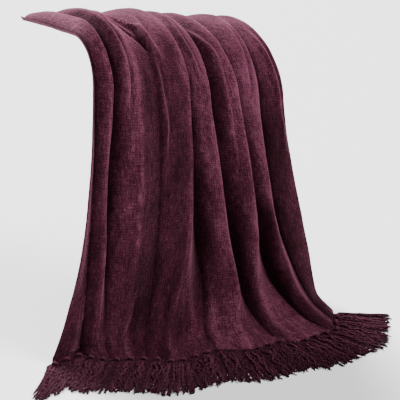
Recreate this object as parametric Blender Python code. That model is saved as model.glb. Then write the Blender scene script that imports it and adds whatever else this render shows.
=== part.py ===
"""A chenille throw hanging in folds over an edge, with a knotted fringe along its lower hem.

The cloth is one solid sheet. It comes over a rounded edge, falls to the floor and spreads there.
Every fold is a soft ridge with a broad panel on its left and a steep side on its right. A table
gives where each fold runs, and the sheet's points are worked out from it. The fringe is a row of
tassels that lie on the floor in front of the hem, each with a knot and a fan of locks.

The frame: +X runs along the edge, to the right of someone who faces the throw, -Y points at them
and +Z is up. The origin is on the edge's crest, under the cloth.
"""

import math
import random
from typing import NamedTuple

import bmesh
import bpy
import numpy as np

# Driving sizes, in metres.
HANG = 1.03  # from the crest down to the floor
FLOOR = -HANG
CLOTH = 0.003  # thickness of the cloth
ARCH_REACH = 0.30  # from the crest forwards to the hanging face
CLEAR = 0.0003  # gap between pieces that touch
MM = 0.001
PER_CENT = 0.01

# The levels at which the folds are set out, and how far each is along the cloth from the crest.
LEVELS = ("crest", "high", "middle", "low", "ankle", "hem")
COURSE = dict(zip(LEVELS, (0.0, 0.40, 0.66, 0.91, 1.09, 1.23)))
TOUCH = 1.205  # where the cloth meets the floor
FAR_HEM = -0.22


class Fold(NamedTuple):
    """One fold, by level: its ridge, and the hollow between it and the next fold on its right."""

    name: str
    across: tuple  # the ridge's X, mm
    flank: tuple  # the hollow's place, as a percentage of the way to the next ridge
    hollow: tuple  # how far the hollow lies behind the ridges, mm


FOLDS = (
    #             crest  high  middle  low  ankle  hem
    Fold("edge", (-360, -370, -395, -444, -507, -558), (30, 20, 37, 50, 68, 80), (16, 18, 20, 24, 16, 8)),
    Fold("first", (-318, -308, -341, -361, -400, -428), (36, 33, 27, 22, 35, 50), (38, 56, 60, 48, 16, 6)),
    Fold("broad", (-225, -222, -226, -262, -311, -345), (40, 42, 42, 44, 52, 50), (34, 10, 13, 16, 18, 8)),
    Fold("long", (-35, -33, -34, -65, -140, -225), (18, 18, 32, 48, 52, 60), (48, 38, 72, 72, 34, 10)),
    Fold("bright", (34, 46, 74, 92, 93, 20), (18, 18, 26, 44, 66, 76), (54, 74, 76, 74, 60, 8)),
    Fold("sweep", (112, 161, 200, 212, 173, 176), (16, 16, 30, 50, 66, 76), (46, 42, 64, 74, 60, 10)),
    Fold("trail", (266, 243, 274, 305, 336, 357), (24, 20, 20, 28, 34, 40), (32, 34, 40, 40, 24, 8)),
    Fold("last", (338, 353, 388, 436, 448, 424), (60, 60, 60, 60, 60, 60), (22, 36, 40, 38, 26, 34)),
    Fold("tuck", (354, 365, 400, 442, 446, 414), (50, 50, 50, 50, 50, 50), (40, 64, 70, 66, 56, 70)),
)


class Ripple(NamedTuple):
    """A soft ridge, or a trough where its height is negative, that runs part of the way down."""

    name: str
    top: float  # how far along the cloth it starts
    foot: float  # and ends
    top_x: float  # X at its start, mm
    foot_x: float
    width: float  # from its middle to where it is nearly gone, mm
    height: float  # mm


RIPPLES = (
    Ripple("lobe", -0.10, 0.50, -266, -254, 14, 12),
    Ripple("pinch", -0.02, 0.31, -200, -108, 20, 14),
    Ripple("pinch gap", 0.04, 0.31, -222, -122, 14, -12),
    Ripple("faint", -0.05, 0.64, -102, -118, 18, 12),
    Ripple("faint gap", 0.30, 0.95, -80, -84, 34, -6),
    Ripple("notch", 0.04, 0.31, 10, 8, 12, 8),
    Ripple("step", 0.02, 0.70, 62, 154, 16, 12),
    Ripple("rim", 0.10, 0.60, 305, 352, 14, 6),
    Ripple("foot", 1.00, 1.23, -70, -140, 18, 10),
    Ripple("toe", 0.92, 1.23, 18, -78, 20, 10),
    Ripple("lap", 0.98, 1.23, -250, -352, 16, -6),
    Ripple("corner", 0.95, 1.23, -420, -505, 40, 10),
)


class Section(NamedTuple):
    """The sheet's course over the edge and down, for the cloth that crosses the crest at X."""

    at: float  # X on the crest, mm
    crest: float  # height of the crest over the floor, mm
    far_reach: float  # from the crest back to the far hem, mm
    far_drop: float  # how far the far hem hangs below the crest, mm
    reach: float  # how far the arch comes forwards, from level to upright, mm
    drop: float  # how far the arch comes down, mm
    out: float  # how far in front of the hanging face the cloth meets the floor, mm
    toe: float  # how far it then runs along the floor to the hem, mm


SECTIONS = (
    Section(-360, 1010, 232, -4, 125, 140, -18, 12),
    Section(-344, 1024, 236, 8, 152, 166, -16, 8),
    Section(-318, 1046, 240, 28, 190, 200, 18, 16),
    Section(-190, 1047, 210, 42, 280, 235, 92, 20),
    Section(-35, 1038, 200, 45, 300, 235, 165, 34),
    Section(50, 1020, 195, 45, 300, 235, 234, 56),
    Section(150, 1008, 190, 45, 300, 240, 252, 80),
    Section(244, 998, 185, 45, 300, 245, 250, 66),
    Section(336, 985, 180, 45, 300, 250, 165, 66),
    Section(352, 985, 180, 45, 300, 250, 160, 56),
)

EVEN_FLARE = 0.30  # share of the reach to the floor that grows evenly down the face
FLARE_HEIGHT = 0.42  # the rest curls out below this height
RIDGE_LIFT = 0.020  # how far the ridges stand over the floor where the cloth meets it
HEM_LIFT = 0.004
RIDGE_ROUND = 0.22  # how far a steep side runs level at its ridge, as a share of its width
HOLLOW_ROUND = 0.30
PANEL_HOLLOW_ROUND = 0.12  # the same for a panel, at the hollow where it starts
PANEL_RIDGE_ROUND = 0.30
PANEL_DIP = 0.25  # how much of a hollow's depth its panel keeps on its way out

# Steps of the sheet's mesh.
SLOPE_STEP = 0.012  # half the length of cloth over which its slope is taken
FLANK_STEPS = 4
PANEL_STEPS = 5
FAR_ROWS = 3
ARCH_ROWS = 8
FACE_ROWS = 17
TOE_ROWS = 2

# The fringe: tassels that lie on the floor, each a knot and a fan of locks.
TASSELS = 26
FIRST_TASSEL = 0.012  # from the hem's left end to the first knot
LAST_TASSEL = 0.065  # from the last knot to the hem's right end
FRINGE = 0.185  # from the hem to the tips
FRINGE_SPREAD = 0.08  # how much a length differs from the next one's, as a share
LOCKS = 6
LOCK_STEPS = 3
LOCK_FILL = 0.80  # share of a lock's slot that it fills
LOCK_WIDTH = 0.0068  # the most that it is wide
LOCK_HEIGHT = 0.0055
TIP_HEIGHT = 0.0035
KNOT_GAP = 0.004  # between the fans of neighbours
KNOT_CROWN = 1.2  # how much lower a knot's edges are than its middle
HEM_POINTS = 400
WAVE = 0.0015  # how far a fan wanders to its sides


class Ring(NamedTuple):
    """One cross-section of a tassel, where it is still whole."""

    out: float  # distance from the hem
    width: float
    height: float


KNOT = (
    Ring(0.000, 0.009, 0.0070),
    Ring(0.008, 0.016, 0.0120),
    Ring(0.014, 0.012, 0.0085),
    Ring(0.020, 0.018, 0.0060),
)


class Lay(NamedTuple):
    """The way the fringe is combed at one place along the hem."""

    at: float  # share of the hem, from its left end
    turn: float  # degrees from straight ahead, to the right


LAYS = (
    Lay(0.00, -28),
    Lay(0.09, -30),
    Lay(0.15, -42),
    Lay(0.30, -36),
    Lay(0.50, -20),
    Lay(0.75, 12),
    Lay(0.90, 30),
    Lay(1.00, 60),
)


class Finish(NamedTuple):
    """A plain finish for one kind of piece."""

    name: str
    colour: tuple
    roughness: float


WOVEN_CHENILLE = Finish("woven_chenille", (0.085, 0.022, 0.038), 0.95)
CHENILLE_YARN = Finish("chenille_yarn", (0.070, 0.018, 0.031), 0.95)


def smooth(places, values, at):
    """Read a smooth curve through (places, values) at the distances given."""
    places = np.asarray(places, float)
    values = np.asarray(values, float)
    slope = np.gradient(values, places)
    at = np.clip(at, places[0], places[-1])
    i = np.clip(np.searchsorted(places, at, side="right") - 1, 0, len(places) - 2)
    run = places[i + 1] - places[i]
    t = (at - places[i]) / run
    return ((2 * t**3 - 3 * t**2 + 1) * values[i] + (t**3 - 2 * t**2 + t) * run * slope[i]
            + (3 * t**2 - 2 * t**3) * values[i + 1] + (t**3 - t**2) * run * slope[i + 1])


def by_level(values, course):
    """Read a row with one value a level at the distances along the cloth."""
    return smooth([COURSE[name] for name in LEVELS], values, course)


def bezier(a, b, c, d, t):
    """Return the cubic curve's value at t."""
    s = 1 - t
    return a * s**3 + 3 * b * s**2 * t + 3 * c * s * t**2 + d * t**3


def sheet_columns():
    """List the sheet's columns as (fold, part, step) from left to right."""
    found = []
    for i in range(len(FOLDS) - 1):
        flank = 1 if i == len(FOLDS) - 2 else FLANK_STEPS
        panel = 2 if i == len(FOLDS) - 2 else PANEL_STEPS
        found += [(i, "flank", k / flank) for k in range(flank)]
        found += [(i, "panel", k / panel) for k in range(panel)]
    return found + [(len(FOLDS) - 2, "panel", 1.0)]


def sheet_rows():
    """List the distances along the cloth of the sheet's rows, from the far hem to the near one."""
    far = np.linspace(FAR_HEM, 0, FAR_ROWS + 1)[:-1]
    arch = np.linspace(0, COURSE["high"], ARCH_ROWS + 1)[:-1]
    face = np.linspace(COURSE["high"], TOUCH, FACE_ROWS + 1)[:-1]
    toe = np.linspace(TOUCH, COURSE["hem"], TOE_ROWS + 1)
    return np.concatenate((far, arch, face, toe))


def fold_lines(i, course):
    """Return X and the distance behind the ridges, of fold i's ridge, hollow and next ridge."""
    fold, after = FOLDS[i], FOLDS[i + 1]
    ridge = by_level(fold.across, course) * MM
    end = by_level(after.across, course) * MM
    hollow = ridge + by_level(fold.flank, course) * PER_CENT * (end - ridge)
    level = np.zeros_like(course)
    tucked = i == len(FOLDS) - 2
    behind = by_level(after.hollow, course) * MM if tucked else level
    return (ridge, hollow, end), (level, by_level(fold.hollow, course) * MM, behind)


def across_at(column, course):
    """Return X and the distance behind the ridges for one column, at each course."""
    i, part, t = column
    (x0, x1, x2), (d0, d1, d2) = fold_lines(i, np.maximum(course, 0.0))
    if part == "flank":
        width = x1 - x0
        return (bezier(x0, x0 + RIDGE_ROUND * width, x1 - HOLLOW_ROUND * width, x1, t),
                bezier(d0, d0, d1, d1, t))
    width = x2 - x1
    dip = d1 if i == len(FOLDS) - 2 else d1 * PANEL_DIP
    return (bezier(x1, x1 + PANEL_HOLLOW_ROUND * width, x2 - PANEL_RIDGE_ROUND * width, x2, t),
            bezier(d1, dip, d2, d2, t))


def rippled(x, course):
    """Return how far the ripples lift the cloth at each X and course."""
    lift = np.zeros_like(course)
    for ripple in RIPPLES:
        t = (course - ripple.top) / (ripple.foot - ripple.top)
        middle = (ripple.top_x + (ripple.foot_x - ripple.top_x) * np.clip(t, 0, 1)) * MM
        fade = np.clip(4 * t, 0, 1) * np.clip(4 * (1 - t), 0, 1)
        if ripple.foot >= COURSE["hem"]:
            fade = np.clip(2 * t, 0, 1) * np.clip(9 * (1.05 - t), 0, 1)
        away = (x - middle) / (ripple.width * MM)
        lift += ripple.height * MM * fade * np.exp(-2.0 * away**2)
    return lift


def course_curve(x):
    """Return the outer course over the edge as (distance, Y, Z) arrays, for one crest X."""
    at = [s.at * MM for s in SECTIONS]
    crest, far_reach, far_drop, reach, drop, out, toe = (
        float(smooth(at, [getattr(s, key) * MM for s in SECTIONS], x))
        for key in ("crest", "far_reach", "far_drop", "reach", "drop", "out", "toe"))
    top = FLOOR + crest
    rows = [(FAR_HEM * b, far_reach * b, top - far_drop * b**2) for b in np.linspace(1, 0, 12)[:-1]]
    level = ARCH_REACH - reach
    quarter = np.linspace(0, math.pi / 2, 40)
    arch = [(-level - reach * math.sin(a), top - drop + drop * math.cos(a)) for a in quarter]
    run = np.concatenate(([0], np.cumsum([math.dist(p, q) for p, q in zip(arch, arch[1:])])))
    whole = level + run[-1]
    if level > 0.001:
        rows.append((0.0, 0.0, top))
    rows += [(COURSE["high"] * (level + r) / whole, *p) for r, p in zip(run, arch)]
    height = crest - drop
    for fall in np.linspace(0, 1, 60)[1:]:
        h = height * (1 - fall)
        curl = 1 - math.sqrt(1 - max(0.0, 1 - h / FLARE_HEIGHT) ** 2)
        away = out * (EVEN_FLARE * fall + (1 - EVEN_FLARE) * curl)
        rows.append((COURSE["high"] + fall * (TOUCH - COURSE["high"]), -ARCH_REACH - away, FLOOR + h))
    rows.append((COURSE["hem"], -ARCH_REACH - out - toe, FLOOR))
    return np.array(rows).T


def sheet_grid(across, course):
    """Return the sheet's middle surface as points, a row for each distance along the cloth."""
    grid = np.empty((len(course), len(across), 3))
    start = np.zeros(1)
    lift = np.interp(course, (COURSE["ankle"], TOUCH, COURSE["hem"]), (0, RIDGE_LIFT, HEM_LIFT))
    for c, column in enumerate(across):
        crossing = across_at(column, start)[0][0]
        along, ys, zs = course_curve(crossing)
        x, behind = across_at(column, course)
        behind = behind - rippled(x, course)
        ty = np.interp(course + SLOPE_STEP, along, ys) - np.interp(course - SLOPE_STEP, along, ys)
        tz = np.interp(course + SLOPE_STEP, along, zs) - np.interp(course - SLOPE_STEP, along, zs)
        size = np.hypot(ty, tz)
        grid[:, c, 0] = x
        grid[:, c, 1] = np.interp(course, along, ys) - behind * tz / size
        grid[:, c, 2] = np.interp(course, along, zs) + behind * ty / size + lift
    grid[..., 2] = np.maximum(grid[..., 2], FLOOR + CLOTH / 2)
    grid[-1, :, 2] = FLOOR + CLOTH / 2
    return grid


def outward(grid):
    """Return the unit normals of a grid of points, on its outer side."""
    down = np.gradient(grid, axis=0)
    right = np.gradient(grid, axis=1)
    normal = np.cross(down, right)
    return normal / np.linalg.norm(normal, axis=2, keepdims=True)


def thick_sheet(name, grid, thickness):
    """Make one closed body of even thickness about a grid of points."""
    half = outward(grid) * thickness / 2
    half[-1] = (0, 0, thickness / 2)
    sides = [grid + half, grid - half]
    sides[1][..., 2] = np.maximum(sides[1][..., 2], FLOOR)
    bm = bmesh.new()
    outer, inner = ([[bm.verts.new(p) for p in row] for row in side] for side in sides)
    last_row, last_column = len(outer) - 1, len(outer[0]) - 1
    for r in range(last_row):
        for c in range(last_column):
            bm.faces.new((outer[r][c], outer[r + 1][c], outer[r + 1][c + 1], outer[r][c + 1]))
            bm.faces.new((inner[r][c], inner[r][c + 1], inner[r + 1][c + 1], inner[r + 1][c]))
    for c in range(last_column):
        bm.faces.new((outer[0][c], outer[0][c + 1], inner[0][c + 1], inner[0][c]))
        bm.faces.new((outer[last_row][c + 1], outer[last_row][c],
                      inner[last_row][c], inner[last_row][c + 1]))
    for r in range(last_row):
        bm.faces.new((outer[r + 1][0], outer[r][0], inner[r][0], inner[r + 1][0]))
        bm.faces.new((outer[r][last_column], outer[r + 1][last_column],
                      inner[r + 1][last_column], inner[r][last_column]))
    bmesh.ops.recalc_face_normals(bm, faces=bm.faces)
    finished(name, bm, WOVEN_CHENILLE)


def material(finish):
    """Return the finish's material, made when it is first asked for."""
    if finish.name in bpy.data.materials:
        return bpy.data.materials[finish.name]
    made = bpy.data.materials.new(finish.name)
    made.use_nodes = True
    shader = made.node_tree.nodes["Principled BSDF"]
    shader.inputs["Base Color"].default_value = (*finish.colour, 1.0)
    shader.inputs["Roughness"].default_value = finish.roughness
    shader.inputs["Metallic"].default_value = 0.0
    return made


def finished(name, bm, finish):
    """Turn a bmesh into an object in the scene, with its finish."""
    mesh = bpy.data.meshes.new(name)
    bm.to_mesh(mesh)
    bm.free()
    mesh.shade_smooth()
    mesh.materials.append(material(finish))
    obj = bpy.data.objects.new(name, mesh)
    bpy.context.scene.collection.objects.link(obj)


def hem_line(grid):
    """Return the outer hem as X and Y points at even steps, and its length."""
    points = grid[-1, :, :2]
    run = np.concatenate(([0], np.cumsum(np.linalg.norm(np.diff(points, axis=0), axis=1))))
    even = np.linspace(0, run[-1], HEM_POINTS)
    return np.stack([np.interp(even, run, points[:, k]) for k in range(2)], axis=1), run[-1]


class Place(NamedTuple):
    """Where a tassel is knotted to the hem."""

    foot: np.ndarray
    out: np.ndarray  # the way in which it lies
    along: np.ndarray  # the way in which it is wide
    edge: np.ndarray  # the way in which the hem runs there


def tassel_places(grid):
    """List the places of the tassels, from left to right."""
    line, length = hem_line(grid)
    places = []
    for at in np.linspace(FIRST_TASSEL, length - LAST_TASSEL, TASSELS) / length:
        turn = math.radians(smooth([lay.at for lay in LAYS], [lay.turn for lay in LAYS], at))
        out = np.array((math.sin(turn), -math.cos(turn)))
        foot = line[int(round(at * (HEM_POINTS - 1)))]
        beside = line[np.linalg.norm(line - foot, axis=1) < 0.5 * KNOT[0].width + length / HEM_POINTS]
        edge = (beside[-1] - beside[0]) / np.linalg.norm(beside[-1] - beside[0])
        normal = np.array((edge[1], -edge[0]))
        seat = ((beside - foot) @ normal).max() + CLEAR
        places.append(Place(foot + normal * seat, out, np.array((-out[1], out[0])), edge))
    return places


def fan_widths(places):
    """Return how wide each tassel may spread at its tips, clear of its neighbours."""
    tips = [place.foot + place.out * FRINGE for place in places]
    room = [abs((b - a) @ place.along) for place, a, b in zip(places, tips, tips[1:])]
    return [min(room[max(0, i - 1): i + 1]) - KNOT_GAP for i in range(len(places))]


def whole_rings(bm, place):
    """Add the rings of a tassel's knot, from the hem outwards, and return them."""
    rings = []
    side = np.linspace(-0.5, 0.5, LOCKS + 1)
    for ring in KNOT:
        middle = place.foot + place.out * ring.out
        along = place.along if rings else place.edge
        tops = [(*(middle + along * ring.width * s), FLOOR + ring.height * (1 - KNOT_CROWN * s**2))
                for s in side]
        feet = [(*(middle + along * ring.width * s), FLOOR) for s in side[::-1]]
        rings.append([bm.verts.new(point) for point in tops + feet])
    return rings


def add_band(bm, ring, after):
    """Join two rings of as many points with faces."""
    for k in range(len(ring)):
        j = (k + 1) % len(ring)
        bm.faces.new((ring[k], ring[j], after[j], after[k]))


def tassel(name, place, fan, rng):
    """Make one tassel, a knot whose front is drawn out into locks that lie on the floor."""
    bm = bmesh.new()
    rings = whole_rings(bm, place)
    bm.faces.new(rings[0])
    for ring, after in zip(rings, rings[1:]):
        add_band(bm, ring, after)
    root = rings[-1]
    last = len(root) - 1
    phase = rng.uniform(0, 2 * math.pi)
    for lock in range(LOCKS):
        before = [root[lock], root[lock + 1], root[last - lock - 1], root[last - lock]]
        length = FRINGE * (1 + FRINGE_SPREAD * rng.uniform(-1, 1)) - KNOT[-1].out
        for t in np.linspace(0, 1, LOCK_STEPS + 1)[1:]:
            slot = (KNOT[-1].width + (fan - KNOT[-1].width) * t * (2 - t)) / LOCKS
            aside = slot * (lock - (LOCKS - 1) / 2) + WAVE * t * math.sin(phase + math.pi * t)
            middle = place.foot + place.out * (KNOT[-1].out + length * t) + place.along * aside
            height = LOCK_HEIGHT + (TIP_HEIGHT - LOCK_HEIGHT) * t
            half = min(LOCK_FILL * slot, LOCK_WIDTH) / 2
            corners = ((-half, height), (half, height), (half, 0), (-half, 0))
            ring = [bm.verts.new((*(middle + place.along * w), FLOOR + h)) for w, h in corners]
            add_band(bm, before, ring)
            before = ring
        bm.faces.new(before)
    bmesh.ops.recalc_face_normals(bm, faces=bm.faces)
    finished(name, bm, CHENILLE_YARN)


def fringe(grid):
    """Make the row of tassels along the hem."""
    rng = random.Random(7)
    places = tassel_places(grid)
    for i, (place, fan) in enumerate(zip(places, fan_widths(places))):
        tassel(f"tassel_{i + 1:02d}", place, fan, rng)


def main():
    for obj in list(bpy.data.objects):
        bpy.data.objects.remove(obj, do_unlink=True)
    grid = sheet_grid(sheet_columns(), sheet_rows())
    thick_sheet("throw", grid, CLOTH)
    fringe(grid)


main()
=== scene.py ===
"""A chenille throw that hangs in folds over an edge, in its cloth and its yarn.

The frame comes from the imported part. The cloth is one thin sheet: its folds run where the part's
folds run, with finer creases between them. The fringe is a row of tassels, each a bundle of
crimped yarns that leave the hem, pass through a knot or beside it, and fan out on the floor.
"""

import logging
import math
import random
from collections.abc import Sequence
from dataclasses import dataclass
from enum import Enum
from typing import ClassVar

import bmesh
import bpy
import numpy as np
from mathutils import Matrix, Vector, noise


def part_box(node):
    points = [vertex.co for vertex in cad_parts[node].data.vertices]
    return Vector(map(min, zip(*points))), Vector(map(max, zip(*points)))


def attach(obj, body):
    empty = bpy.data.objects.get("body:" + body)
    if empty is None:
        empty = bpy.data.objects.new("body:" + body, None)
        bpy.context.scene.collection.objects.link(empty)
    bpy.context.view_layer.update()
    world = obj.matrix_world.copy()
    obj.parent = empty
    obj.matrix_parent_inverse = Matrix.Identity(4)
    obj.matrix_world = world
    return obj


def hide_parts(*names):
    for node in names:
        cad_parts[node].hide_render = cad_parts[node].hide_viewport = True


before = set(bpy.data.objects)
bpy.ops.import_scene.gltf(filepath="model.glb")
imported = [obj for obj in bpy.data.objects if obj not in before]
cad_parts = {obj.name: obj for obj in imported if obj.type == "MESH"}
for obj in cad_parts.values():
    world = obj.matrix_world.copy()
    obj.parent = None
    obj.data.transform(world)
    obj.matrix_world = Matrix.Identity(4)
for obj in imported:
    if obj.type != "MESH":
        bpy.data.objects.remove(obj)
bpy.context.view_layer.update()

log = logging.getLogger("throw")

MM = 0.001
PER_CENT = 0.01
BODY = "root"
SHEET_NODE = "throw"
TASSEL_PREFIX = "tassel_"
SHEET_PIECE = "throw_cloth"
FRINGE_PIECE = "fringe"
NOISE_MIDDLE = 0.5  # what a noise comes to on average
WELD = 1e-4  # vertices nearer than this become one
Colour = tuple[float, float, float]
Route = list[tuple[float, float, float, float]]  # points with a radius each


class Slot(Enum):
    """The record's material slots."""

    CLOTH = "woven_chenille"
    YARN = "chenille_yarn"


class Part(Enum):
    """The two parts of a fold: its steep right side, and the broad panel after the hollow."""

    FLANK = "flank"
    PANEL = "panel"


Column = tuple[int, Part, float]  # a fold's number, its part, and the share of the way across it


@dataclass(frozen=True)
class Fold:
    """One fold, by level: its ridge, and the hollow between it and the next one on its right."""

    name: str
    across: tuple[float, ...]  # the ridge's X, mm
    flank: tuple[float, ...]  # the hollow's place, in per cent of the way to the next ridge
    hollow: tuple[float, ...]  # how far the hollow lies behind the ridges, mm
    pile: float = 0.0  # painted light on the panel after the hollow, lighter above 0 and darker below; it stands also for the lie of the nap there
    late: float = 0.0  # how far past its ridge its painted ridge highlight lies and its panel's painted light sets in, mm; with 0 that light changes evenly over its steep side
    shine: float = 1.0  # how much of the painted highlight on its ridge, and of the painted light on the panel that leads up to it, is left low down


@dataclass(frozen=True)
class Crease:
    """A soft ridge, or a trough where its height is negative, that runs part of the way down."""

    name: str
    course: tuple[float, ...]  # distances along the cloth from the crest, m
    across: tuple[float, ...]  # its X at each of them, mm
    width: float  # from its middle to where it is nearly gone, mm
    height: float  # mm
    tuck: float = 0.0  # how deep the cloth tucks in on its right, or its left where negative, mm


@dataclass(frozen=True)
class Section:
    """The sheet's course over the edge and down, for the cloth that crosses the crest at one X."""

    at: float  # X on the crest, mm
    crest: float  # height of the crest over the floor, mm
    far_reach: float  # from the crest back to the far hem, mm
    far_drop: float  # how far the far hem hangs below the crest, mm
    reach: float  # how far the arch comes forwards, mm
    drop: float  # how far the arch comes down, mm
    out: float  # how far in front of the hanging face the cloth meets the floor, mm
    toe: float  # how far it then runs along the floor to the hem, mm


@dataclass(frozen=True)
class Lay:
    """The way the fringe is combed at one place along the hem."""

    at: float  # share of the hem, from its left end
    turn: float  # degrees from straight ahead, to the right
    bend: float  # degrees by which it turns further on its way to the tips


FOLDS = (
    Fold("edge", (-360, -370, -395, -444, -507, -558), (30, 20, 37, 50, 68, 80), (16, 18, 20, 24, 16, 8),
         pile=-0.35),
    Fold("first", (-318, -308, -341, -361, -400, -428), (36, 33, 27, 22, 35, 50), (38, 56, 60, 48, 16, 6),
         pile=0.08),
    Fold("broad", (-225, -222, -226, -262, -311, -345), (40, 42, 42, 44, 52, 50), (34, 10, 13, 16, 18, 8),
         pile=-0.74, late=12),
    Fold("long", (-35, -33, -34, -65, -140, -225), (18, 18, 32, 48, 52, 60), (48, 38, 72, 72, 34, 10),
         pile=0.30),
    Fold("bright", (34, 46, 74, 92, 93, 20), (18, 18, 26, 44, 66, 76), (54, 74, 76, 74, 60, 8),
         pile=0.15),
    Fold("sweep", (112, 161, 200, 212, 173, 176), (16, 16, 30, 50, 66, 76), (46, 42, 64, 74, 60, 10),
         pile=0.80),
    Fold("trail", (266, 243, 274, 305, 336, 357), (24, 20, 20, 28, 34, 40), (32, 34, 40, 40, 24, 8),
         pile=-0.70, shine=-0.5),
    Fold("last", (338, 353, 388, 436, 448, 424), (60, 60, 60, 60, 60, 60), (22, 36, 40, 38, 26, 34),
         pile=-0.40),
    Fold("tuck", (354, 365, 400, 442, 446, 414), (50, 50, 50, 50, 50, 50), (40, 64, 70, 66, 56, 70)),
)

CREASES = (
    Crease("lobe", (-0.10, 0.0, 0.09, 0.17, 0.28, 0.33, 0.40, 0.50),
           (-280, -268, -261, -251, -247, -251, -257, -264), width=13, height=13, tuck=8),
    Crease("pinch", (0.02, 0.09, 0.14, 0.19, 0.23, 0.27, 0.32),
           (-235, -175, -136, -130, -124, -119, -118), width=14, height=16),
    Crease("pinch gap", (0.06, 0.13, 0.17, 0.20, 0.24, 0.30),
           (-240, -205, -178, -152, -138, -136), width=10, height=-15),
    Crease("thin", (0.0, 0.10, 0.15, 0.20, 0.26, 0.39, 0.44, 0.48, 0.54, 0.66),
           (-120, -116, -122, -132, -136, -136, -128, -124, -128, -136), width=13, height=9, tuck=3),
    Crease("notch", (0.02, 0.11, 0.18, 0.24, 0.29, 0.36),
           (16, 10, 5, 4, 8, 12), width=9, height=8, tuck=4),
    Crease("step", (0.02, 0.14, 0.20, 0.25, 0.32, 0.37, 0.42, 0.54, 0.60, 0.72),
           (45, 66, 84, 98, 102, 106, 116, 132, 142, 154), width=14, height=12),
    Crease("trail gap", (0.10, 0.20, 0.26, 0.31, 0.40),
           (246, 240, 232, 224, 218), width=11, height=-10),
    Crease("rim", (0.10, 0.20, 0.33, 0.43, 0.52, 0.64),
           (306, 315, 323, 335, 350, 366), width=12, height=6, tuck=5),
    Crease("lap", (0.98, 1.05, 1.11, 1.17, 1.21, 1.23),
           (-252, -268, -290, -330, -348, -356), width=12, height=-6),
    Crease("foot", (1.00, 1.08, 1.13, 1.17, 1.20, 1.23),
           (-72, -80, -90, -100, -126, -150), width=16, height=10, tuck=-3),
    Crease("toe", (0.92, 1.02, 1.09, 1.16, 1.20, 1.23),
           (14, 2, -8, -28, -54, -88), width=20, height=10),
    Crease("corner", (0.95, 1.05, 1.15, 1.23),
           (-420, -446, -476, -505), width=36, height=10),
)

SECTIONS = (
    Section(-360, 1010, 232, -4, 125, 140, -18, 12),
    Section(-344, 1024, 236, 8, 152, 166, -16, 8),
    Section(-318, 1046, 240, 28, 190, 200, 18, 16),
    Section(-190, 1047, 210, 42, 280, 235, 92, 20),
    Section(-35, 1038, 200, 45, 300, 235, 165, 34),
    Section(50, 1020, 195, 45, 300, 235, 234, 56),
    Section(150, 1008, 190, 45, 300, 240, 252, 80),
    Section(244, 998, 185, 45, 300, 245, 250, 66),
    Section(336, 985, 180, 45, 300, 250, 165, 66),
    Section(352, 985, 180, 45, 300, 250, 160, 56),
)

LAYS = (
    Lay(0.00, -28, -20),
    Lay(0.09, -30, -24),
    Lay(0.15, -42, -6),
    Lay(0.30, -36, -4),
    Lay(0.50, -20, -6),
    Lay(0.75, 12, -8),
    Lay(0.90, 30, 4),
    Lay(1.00, 60, 6),
)


def smooth(places: Sequence[float], values: Sequence[float], at: np.ndarray | float) -> np.ndarray:
    """Read a smooth curve through given points.

    Args:
        places: Rising distances at which the curve is known.
        values: The curve's value at each of them.
        at: The distance or distances at which it is wanted.

    Returns:
        The curve's value at each wanted distance.
    """
    known = np.asarray(places, float)
    value = np.asarray(values, float)
    slope = np.gradient(value, known)
    at = np.clip(at, known[0], known[-1])
    i = np.clip(np.searchsorted(known, at, side="right") - 1, 0, len(known) - 2)
    run = known[i + 1] - known[i]
    t = (at - known[i]) / run
    return ((2 * t**3 - 3 * t**2 + 1) * value[i] + (t**3 - 2 * t**2 + t) * run * slope[i]
            + (3 * t**2 - 2 * t**3) * value[i + 1] + (t**3 - t**2) * run * slope[i + 1])


def smoothstep(t: np.ndarray) -> np.ndarray:
    """Return a soft step from 0 to 1 as t goes from 0 to 1."""
    t = np.clip(t, 0.0, 1.0)
    return t * t * (3 - 2 * t)


def bezier(a: np.ndarray, b: np.ndarray, c: np.ndarray, d: np.ndarray, t: float) -> np.ndarray:
    """Return the value of a cubic curve with control values a, b, c and d at t."""
    s = 1 - t
    return a * s**3 + 3 * b * s**2 * t + 3 * c * s * t**2 + d * t**3


def link(obj: bpy.types.Object) -> bpy.types.Object:
    """Put an object into the scene and return it."""
    bpy.context.scene.collection.objects.link(obj)
    return obj


def settled(obj: bpy.types.Object, name: str) -> bpy.types.Object:
    """Swap an object for a plain mesh object of what its modifiers or its curve make.

    Args:
        obj: The object to take over. It is removed.
        name: The name of the new object and its mesh.

    Returns:
        The new object, at the origin and without modifiers.
    """
    bpy.context.view_layer.update()
    shaped = obj.evaluated_get(bpy.context.evaluated_depsgraph_get())
    mesh = bpy.data.meshes.new_from_object(shaped)
    bpy.data.objects.remove(obj, do_unlink=True)
    mesh.name = name
    return link(bpy.data.objects.new(name, mesh))


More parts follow.
